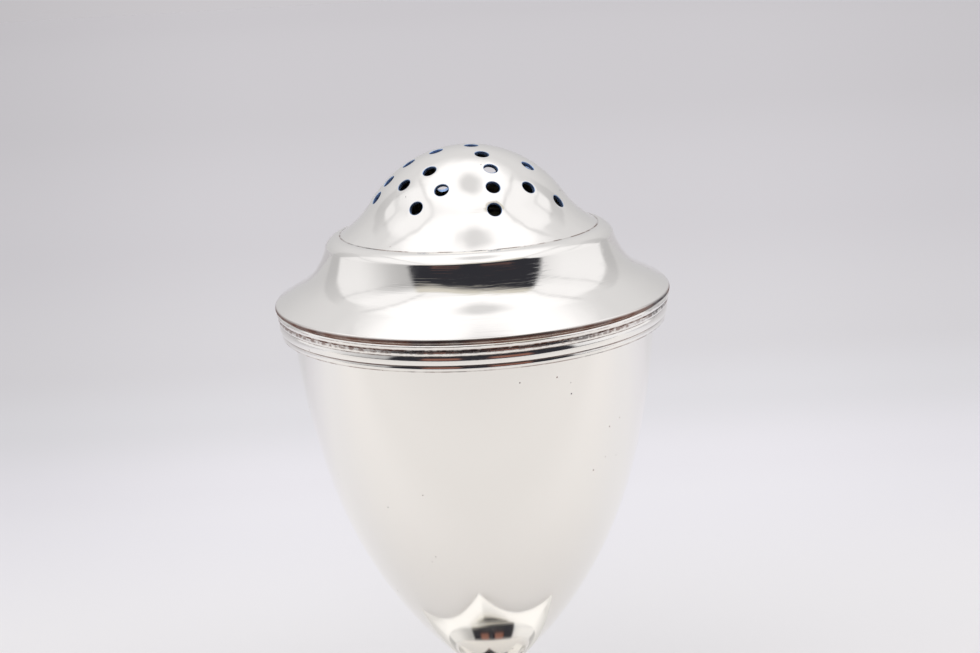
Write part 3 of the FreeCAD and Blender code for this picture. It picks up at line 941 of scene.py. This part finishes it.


# Floor: a wide sheet of pale paper with painted light in its colour. It is painted whitest close
# around the pot, against the pot's own shade there, and darker further in front. Behind the pot
# it is painted greyer far away and towards the sides, as the light falls off. Past the table's
# edge in front it is painted dark, for reflections and bounced light only.

FRONT_TURN = 34
FLOOR_HALF_SIDE = 15000

# Places on the paper are in metres, with the camera straight ahead of the pot towards -Y
CAMERA_DISTANCE = 0.16
TABLE_EDGE = -0.43
TABLE_EDGE_SOFTNESS = 0.03
BEHIND_POT = (0.03, 0.12)
LEFT_FALLOFF = (-0.42, -0.14, 0.89, 1.01)
RIGHT_FALLOFF = (0.2, 0.42, 1.01, 0.95)
PAINTED_DARK_PAST_TABLE = (0.05, 0.045, 0.055, 1)
PAPER_FAR_PAINTED_GREY = (0.596, 0.584, 0.601, 1)
# Paper colour along Y, with painted light in it: lightest just around the pot, greyer far away
PAPER_PAINTED_LIGHT_STOPS = (
    (-0.16, (0.790, 0.774, 0.758, 1)),
    (-0.07, (0.842, 0.825, 0.808, 1)),
    (-0.03, (0.890, 0.872, 0.858, 1)),
    (0.03, (0.850, 0.843, 0.850, 1)),
    (0.085, (0.830, 0.823, 0.850, 1)),
    (0.105, (0.815, 0.806, 0.836, 1)),
    (0.15, (0.740, 0.737, 0.756, 1)),
    (0.20, (0.696, 0.688, 0.704, 1)),
    (0.40, (0.651, 0.640, 0.660, 1)),
    (1.0, (0.614, 0.603, 0.620, 1)),
    (6.0, PAPER_FAR_PAINTED_GREY),
)


def parts_from_front(tree, place):
    """X, Y and Z of a place or direction, turned so that the camera is towards -Y."""
    turned = node(tree, "ShaderNodeVectorRotate",
                  {"Vector": place, "Angle": math.radians(FRONT_TURN)}, rotation_type="Z_AXIS")
    return node(tree, "ShaderNodeSeparateXYZ", {0: turned.outputs["Vector"]}).outputs


def multiply_colour(tree, colour, factor):
    scaled = node(tree, "ShaderNodeVectorMath", {0: colour, "Scale": factor}, operation="SCALE")
    return scaled.outputs["Vector"]


def blend(tree, mask, under, over):
    """Number over another where the mask is 1."""
    return node(tree, "ShaderNodeMix", {"Factor": mask, 2: under, 3: over}).outputs[0]


def side_falloff(tree, across, along):
    """Share of the light left at a place across from the middle, at a distance along."""
    slant = maths(tree, "DIVIDE", across, along)
    left = fade(tree, slant, *LEFT_FALLOFF)
    return maths(tree, "MULTIPLY", left, fade(tree, slant, *RIGHT_FALLOFF))


floor = new_piece(
    "floor",
    [(x * FLOOR_HALF_SIDE, y * FLOOR_HALF_SIDE, 0) for x, y in ((-1, -1), (1, -1), (1, 1), (-1, 1))],
    [(0, 1, 2, 3)],
)
paper = bpy.data.materials.new("paper")
paper.use_nodes = True
tree = paper.node_tree
place = node(tree, "ShaderNodeTexCoord").outputs["Object"]
floor_parts = parts_from_front(tree, place)
colour = PAPER_PAINTED_LIGHT_STOPS[0][1]
for (start, _), (end, tone) in zip(PAPER_PAINTED_LIGHT_STOPS, PAPER_PAINTED_LIGHT_STOPS[1:]):
    colour = tint(tree, fade(tree, floor_parts["Y"], start, end), colour, tone)
# Painted falloff of light towards the sides, behind the pot only
from_camera = maths(tree, "ADD", maths(tree, "MAXIMUM", floor_parts["Y"], 0.0), CAMERA_DISTANCE)
falloff = side_falloff(tree, floor_parts["X"], from_camera)
behind_pot = fade(tree, floor_parts["Y"], *BEHIND_POT)
colour = multiply_colour(tree, colour, blend(tree, behind_pot, 1.0, falloff))
# Painted dark reflection: past the table's edge the paper turns dark for every ray but the camera's,
# which still sees paper
beyond = fade(tree, floor_parts["Y"], TABLE_EDGE - TABLE_EDGE_SOFTNESS,
              TABLE_EDGE + TABLE_EDGE_SOFTNESS, 1, 0)
seen = node(tree, "ShaderNodeLightPath").outputs["Is Camera Ray"]
beyond = maths(tree, "MULTIPLY", beyond, maths(tree, "SUBTRACT", 1.0, seen))
colour = tint(tree, beyond, colour, PAINTED_DARK_PAST_TABLE)
tree.links.new(colour, tree.nodes["Principled BSDF"].inputs["Base Color"])
tree.nodes["Principled BSDF"].inputs["Roughness"].default_value = 0.9
tree.nodes["Principled BSDF"].inputs["Specular IOR Level"].default_value = 0
floor.data.materials.append(paper)


# Light tent: white cloth all round and overhead, lit from outside, greyer behind the pot and
# with seams where the sides meet the roof. Its front has a dark opening for the camera.

CLOTH = (1.0, 0.988, 1.01)
PAPER_BEYOND = (0.588, 0.569, 0.590)
OPENING_DARK = (0.03, 0.03, 0.037, 1)
OPENING_BROWN = (0.27, 0.125, 0.095, 1)
OPENING_FRINGE = (0.68, 0.645, 0.58, 1)

# Fades: two limits, in degrees of azimuth or elevation, and the tones at them
LEFT_SIDE = (-100, -52, 0.88, 0.5)
RIGHT_SIDE = (52, 80, 0.78, 0.93)
LEFT_TO_RIGHT = (-2, 2)
SIDE_FOOT = (0, 25, 0.95, 1)
SIDE_TO_BACK = (119, 124)
BACK_RISE = (4, 40, 0.59, 0.73)
BACK_TOP = (42, 63, 0, 0.33)
CORNER_TOP = (30, 42, 1, 0)
PANEL_FOOT = (38, 48)
PANEL_END = (122, 112)
ROOF_FOOT = (54, 63)
ROOF_SEAM_FOOT = (46, 54)
OPENING_TOP = (-45, 5, 41, 51)
OPENING_EDGE = (-4, 3, 1, 0)
BROWN_TOP = (12, 24, 1, 0)

# Bands: two limits in degrees and the softness of both
CORNER = (120, 136, 2)
SIDE_SEAM = (34.5, 37, 1)
SIDE_SEAM_ENDS = (50, 124, 2)
OPENING_SIDES = (-50, 57, 2.5)
FRINGE = (-2, 7, 2)
BROWN_LEFT = (-30, -9, 1.5)
BROWN_RIGHT = (8, 31, 1.5)

# The same on the roof, where places are offsets from overhead at a height of 1
ROOF_TONES = (0.58, 0.68, 1.10, 0.94)
ROOF_SEAM_LEFT = (-0.63, -0.57, 0.02)
ROOF_SEAM_RIGHT = (0.59, 0.65, 0.02)
SPOT_STRETCH = 1.6
SPOT_SHIFT = -0.08
SPOT_FADE = (0.1, 0.34, 1, 0)

CORNER_SHADE = 0.14
SIDE_SEAM_SHADE = 0.14
ROOF_SEAM_SHADE = 0.2
PANEL_TONE = 0.98
SPOT_TONE = 0.74
LEAST_DIVISOR = 0.05


def window(tree, value, start, end, soft):
    """1 between two values, with soft ends."""
    return maths(tree, "MULTIPLY", fade(tree, value, start - soft, start + soft),
                 fade(tree, value, end - soft, end + soft, 1, 0))


def darken(tree, tone, mask, share):
    """Takes a share off the tone where the mask is 1."""
    return maths(tree, "MULTIPLY", tone, maths(tree, "MULTIPLY_ADD", mask, -share, 1.0))


world = bpy.data.worlds.new("light_tent")
bpy.context.scene.world = world
world.use_nodes = True
tree = world.node_tree
background = tree.nodes["Background"]
parts = parts_from_front(tree, node(tree, "ShaderNodeTexCoord").outputs["Generated"])
to_front = maths(tree, "MULTIPLY", parts["Y"], -1.0)
azimuth = maths(tree, "DEGREES", maths(tree, "ARCTAN2", parts["X"], to_front))
elevation = maths(tree, "DEGREES", maths(tree, "ARCSINE", parts["Z"]))
sideways = maths(tree, "ABSOLUTE", azimuth)

# Sides, back, the corners between them, the seam along the sides and the panel above it
tone = blend(tree, fade(tree, azimuth, *LEFT_TO_RIGHT),
             fade(tree, azimuth, *LEFT_SIDE), fade(tree, azimuth, *RIGHT_SIDE))
tone = maths(tree, "MULTIPLY", tone, fade(tree, elevation, *SIDE_FOOT))
back = maths(tree, "ADD", fade(tree, elevation, *BACK_RISE), fade(tree, elevation, *BACK_TOP))
tone = blend(tree, fade(tree, sideways, *SIDE_TO_BACK), tone, back)
corner = maths(tree, "MULTIPLY", window(tree, sideways, *CORNER),
               fade(tree, elevation, *CORNER_TOP))
tone = darken(tree, tone, corner, CORNER_SHADE)
side_seam = maths(tree, "MULTIPLY", window(tree, elevation, *SIDE_SEAM),
                  window(tree, sideways, *SIDE_SEAM_ENDS))
tone = darken(tree, tone, side_seam, SIDE_SEAM_SHADE)
panel = maths(tree, "MULTIPLY", fade(tree, elevation, *PANEL_FOOT),
              fade(tree, sideways, *PANEL_END))
tone = blend(tree, panel, tone, PANEL_TONE)

# Roof, its two seams and a soft spot overhead
upright = maths(tree, "MAXIMUM", parts["Z"], LEAST_DIVISOR)
roof_across = maths(tree, "DIVIDE", parts["X"], upright)
roof_along = maths(tree, "DIVIDE", parts["Y"], upright)
roof = fade(tree, maths(tree, "ABSOLUTE", roof_across), *ROOF_TONES)
tone = blend(tree, fade(tree, elevation, *ROOF_FOOT), tone, roof)
roof_seams = maths(tree, "MAXIMUM", window(tree, roof_across, *ROOF_SEAM_LEFT),
                   window(tree, roof_across, *ROOF_SEAM_RIGHT))
roof_seams = maths(tree, "MULTIPLY", roof_seams, fade(tree, elevation, *ROOF_SEAM_FOOT))
tone = darken(tree, tone, roof_seams, ROOF_SEAM_SHADE)
spot_across = maths(tree, "MULTIPLY_ADD", roof_across, SPOT_STRETCH, SPOT_SHIFT)
off_spot = length_of(tree, spot_across, roof_along)
tone = blend(tree, fade(tree, off_spot, *SPOT_FADE), tone, SPOT_TONE)
colour = multiply_colour(tree, CLOTH, tone)

# Opening at the front, paler at its upper edge and brown low down
over_top = maths(tree, "SUBTRACT", elevation, fade(tree, azimuth, *OPENING_TOP))
sides = window(tree, azimuth, *OPENING_SIDES)
fringe = maths(tree, "MULTIPLY", sides, window(tree, over_top, *FRINGE))
colour = tint(tree, fringe, colour, OPENING_FRINGE)
opening = maths(tree, "MULTIPLY", sides, fade(tree, over_top, *OPENING_EDGE))
colour = tint(tree, opening, colour, OPENING_DARK)
brown = maths(tree, "MAXIMUM", window(tree, azimuth, *BROWN_LEFT),
              window(tree, azimuth, *BROWN_RIGHT))
brown = maths(tree, "MULTIPLY", brown, fade(tree, elevation, *BROWN_TOP))
colour = tint(tree, brown, colour, OPENING_BROWN)

# The camera itself sees the paper go on past the floor's end, painted darker towards the sides
# as the light falls off
seen = node(tree, "ShaderNodeLightPath").outputs["Is Camera Ray"]
far_along = maths(tree, "MAXIMUM", parts["Y"], LEAST_DIVISOR)
paper_seen = multiply_colour(tree, PAPER_BEYOND, side_falloff(tree, parts["X"], far_along))
colour = tint(tree, seen, colour, paper_seen)
tree.links.new(colour, background.inputs["Color"])
background.inputs["Strength"].default_value = 1


# Soft lamp above the tent: it brings the floor up to the light that its paper colour is
# written for. It is spread wide, so the pot's shadow stays soft.

LAMP_STRENGTH = 0.75
LAMP_SPREAD = 120

lamp_data = bpy.data.lights.new("soft_lamp", "SUN")
lamp_data.energy = LAMP_STRENGTH
lamp_data.angle = math.radians(LAMP_SPREAD)
lamp = bpy.data.objects.new("soft_lamp", lamp_data)
lamp.visible_glossy = False
bpy.context.scene.collection.objects.link(lamp)

bpy.context.scene.view_settings.view_transform = "Standard"
